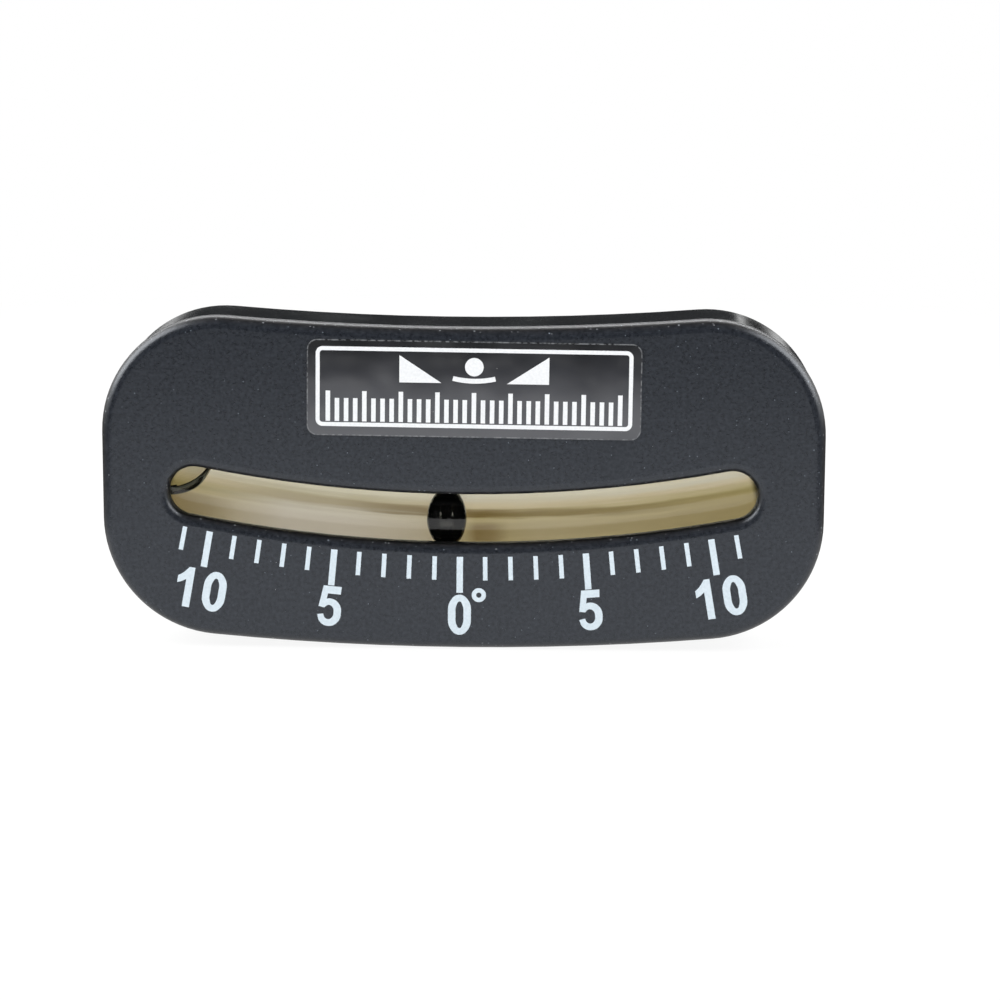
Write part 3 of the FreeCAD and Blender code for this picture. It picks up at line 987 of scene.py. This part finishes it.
def makeStudio():
    grid = bmesh.ops.create_grid
    floor = stagePiece("floor", grid, (0, 0, cadBox[0][2]), x_segments=2, y_segments=2, size=studio["floor"])
    material, tree, output, place = newMaterial("whitePaper")
    seen = seenRay(tree)
    tone = mixColours(tree, seen, studio["bounce"], studio["paper"])
    paper = addNode(tree, "ShaderNodeBsdfDiffuse", {"Color": tone})
    glow = addNode(tree, "ShaderNodeEmission", {"Color": (1, 1, 1, 1), "Strength": 1.0})
    away = addNode(tree, "ShaderNodeVectorMath", {0: place}, operation="LENGTH")
    rise = mapOver(
        tree, away.outputs["Value"], studio["nearGlow"], 1.0, studio["nearReach"], studio["farReach"])
    share = calculate(tree, "MULTIPLY", seen, rise)
    floor.data.materials.append(endMaterial(material, tree, output, "ShaderNodeMixShader", {
        "Fac": share, 1: paper.outputs[0], 2: glow.outputs[0]}))
    makeFlags()


def stagePiece(name, create, centre, **settings):
    bm = bmesh.new()
    create(bm, **settings)
    bmesh.ops.translate(bm, vec=centre, verts=bm.verts)
    mesh = bpy.data.meshes.new(name)
    bm.to_mesh(mesh)
    bm.free()
    piece = bpy.data.objects.new(name, mesh)
    bpy.context.scene.collection.objects.link(piece)
    return piece


def flagCloth(name, colour):
    material, tree, output, _ = newMaterial(name)
    return endMaterial(material, tree, output, "ShaderNodeBsdfDiffuse", {"Color": colourOf(colour)})


def makeFlags():
    # dark cloth out of view, which glossy black plastic needs to stay black
    black = flagCloth("blackFlagCloth", studio["flagBlack"])
    grey = flagCloth("greyFlagCloth", studio["flagGrey"])
    pieces = [stagePiece(name, bendFlag, (0, 0, 0), **flag) for name, flag in studio["flags"].items()]
    for name, (left, right, front, back) in studio["sheets"].items():
        centre = ((left + right) / 2, (front + back) / 2, cadBox[0][2] + studio["sheetRise"] * mm)
        piece = stagePiece(name, bmesh.ops.create_grid, (0, 0, 0), x_segments=1, y_segments=1, size=0.5)
        piece.data.transform(Matrix.Diagonal((right - left, back - front, 1, 1)))
        piece.data.transform(Matrix.Translation(centre))
        pieces.append(piece)
    for piece in pieces:
        piece.data.materials.append(grey if piece.name == "rearFlag" else black)
        piece.visible_camera = piece.visible_diffuse = piece.visible_shadow = False


def bendFlag(bm, side, reach, left, right, low, high):
    # a bent sheet before (side -1) or behind (side 1) the object, between two heights given in degrees
    ends = [bm.verts.new((x, side * reach, 0)) for x in (left, right)]
    edge = bm.edges.new(ends)
    turn = Matrix.Rotation(math.radians(side * low), 3, "X")
    bmesh.ops.rotate(bm, cent=(0, 0, 0), matrix=turn, verts=ends)
    angle = math.radians(high - low)
    bmesh.ops.spin(
        bm, geom=[*ends, edge], cent=(0, 0, 0), axis=(side, 0, 0), angle=angle, steps=studio["flagSteps"])


def seenRay(tree):
    # 1 for what the eye sees, straight or in a gloss or through glass, and 0 for light on the object
    path = addNode(tree, "ShaderNodeLightPath")
    either = calculate(tree, "MAXIMUM", path.outputs["Is Camera Ray"], path.outputs["Is Glossy Ray"])
    return calculate(tree, "MAXIMUM", either, path.outputs["Is Transmission Ray"])


def makeWorld():
    world = bpy.data.worlds.new("studio")
    bpy.context.scene.world = world
    world.use_nodes = True
    tree = world.node_tree
    tree.nodes.clear()
    output = addNode(tree, "ShaderNodeOutputWorld")
    level = mapOver(tree, seenRay(tree), studio["fill"], 1.0)
    light = addNode(tree, "ShaderNodeBackground", {"Color": (1, 1, 1, 1), "Strength": level})
    tree.links.new(light.outputs[0], output.inputs[0])


def makeLights():
    for name, (place, size, power, glossy) in studio["lamps"].items():
        lamp = bpy.data.lights.new(name, "AREA")
        lamp.shape = "RECTANGLE"
        lamp.size, lamp.size_y = size
        lamp.energy = power
        holder = bpy.data.objects.new(name, lamp)
        bpy.context.scene.collection.objects.link(holder)
        holder.location = place
        holder.rotation_euler = (-Vector(place)).to_track_quat("-Z", "Y").to_euler()
        holder.visible_glossy = holder.visible_transmission = glossy


def makeCamera():
    camera = bpy.data.cameras.new("camera")
    camera.lens = cameraView["lens"]
    camera.sensor_width = cameraView["sensor"]
    camera.clip_start = cameraView["clipStart"]
    holder = bpy.data.objects.new("camera", camera)
    bpy.context.scene.collection.objects.link(holder)
    place = Vector(cameraView["place"]) * mm
    aim = Vector(cameraView["aim"]) * mm
    turned = (aim - place).to_track_quat("-Z", "Y").to_matrix().to_4x4()
    roll = Matrix.Rotation(math.radians(cameraView["roll"]), 4, "Z")
    holder.matrix_world = Matrix.Translation(place) @ turned @ roll
    bpy.context.scene.camera = holder


def dressNodes():
    plugRubber = nitrileRubber()
    finishes = {
        "front_cover": coverPlastic(),
        "rear_housing": housingPlastic(),
        "vial_tube": tubeGlass(),
        "ball": blackOxideSteel(),
        "end_plug_left": plugRubber,
        "end_plug_right": plugRubber,
        "reflector_strip": stripFilm(),
        "range_label": labelFilm(),
    }
    for name, material in finishes.items():
        node = frame["nodes"][name]
        for place in node.material_slots:
            place.material = material
    # inside the vial the light comes from all sides, so neither the glass nor the ball darkens the strip
    for name in ("vial_tube", "ball"):
        frame["nodes"][name].visible_shadow = False
    print("nodes dressed:", len(finishes))


dressNodes()
makePad(foamCells("foamTapeCells", foam["padTone"]))
makeCushions(foamCells("cushionFoamCells", foam["cushionTone"]))
print("foam cut")
scaleInk = screenInk("scaleInk", inks["scale"])
makeDegreeMarks(scaleInk)
makeNumerals(scaleInk)
print("scale printed")
labelInk = screenInk("labelInk", inks["label"])
makeLabelFrame(labelInk)
makePictogram(labelInk)
print("label printed")
makeLiquid([
    clearWall("dampingOil", oil["wetted"]), clearWall("airPocketWall", oil["airShade"]), meniscus(), oilTop()])
print("vial filled")
makeStudio()
makeWorld()
makeLights()
makeCamera()
bpy.context.scene.view_settings.view_transform = "Standard"
print("studio ready")
